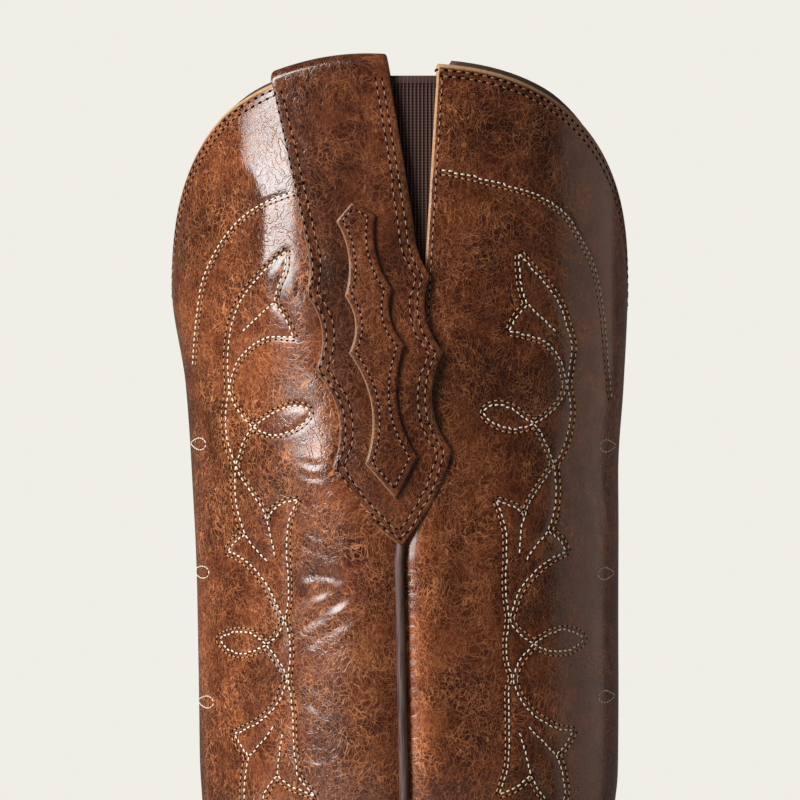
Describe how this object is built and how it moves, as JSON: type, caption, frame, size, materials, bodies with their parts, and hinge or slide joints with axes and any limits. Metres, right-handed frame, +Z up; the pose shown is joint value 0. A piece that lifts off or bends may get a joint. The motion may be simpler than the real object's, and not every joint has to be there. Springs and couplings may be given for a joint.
{
  "type": "western boot",
  "caption": "Tall western boot with a scalloped collar, folded pull straps beside elastic side gores, piped side seams, a welted leather sole and an underslung stacked heel.",
  "frame": {"origin": "on the floor, under the middle of the boot's box", "axes": "+Z up; the toe points to -X and the heel to +X; +Y is the inner side and -Y the outer side of a left boot"},
  "size_m": [0.2911, 0.116, 0.4248],
  "materials": {
    "shaft_leather": "waxed, crackled brown with lighter veins",
    "strap_leather": "waxed brown with raw tan edges",
    "elastic": "ribbed dark brown elastic",
    "piping": "dark brown bead",
    "insole_leather": "matt natural",
    "sole_leather": "edge-waxed brown",
    "heel_leather": "stacked and polished",
    "heel_rubber": "matt black"
  },
  "bodies": {
    "root": {"upper": "shaft_leather", "vamp": "shaft_leather", "heel_counter": "shaft_leather", "pull_strap_outer": "strap_leather", "pull_strap_inner": "strap_leather", "strap_patch_outer": "strap_leather", "strap_patch_inner": "strap_leather", "gore_outer": "elastic", "gore_inner": "elastic", "side_piping_outer": "piping", "side_piping_inner": "piping", "insole": "insole_leather", "welt": "sole_leather", "outsole": "sole_leather", "heel_stack": "heel_leather", "heel_top_lift": "heel_rubber"}
  },
  "joints": []
}
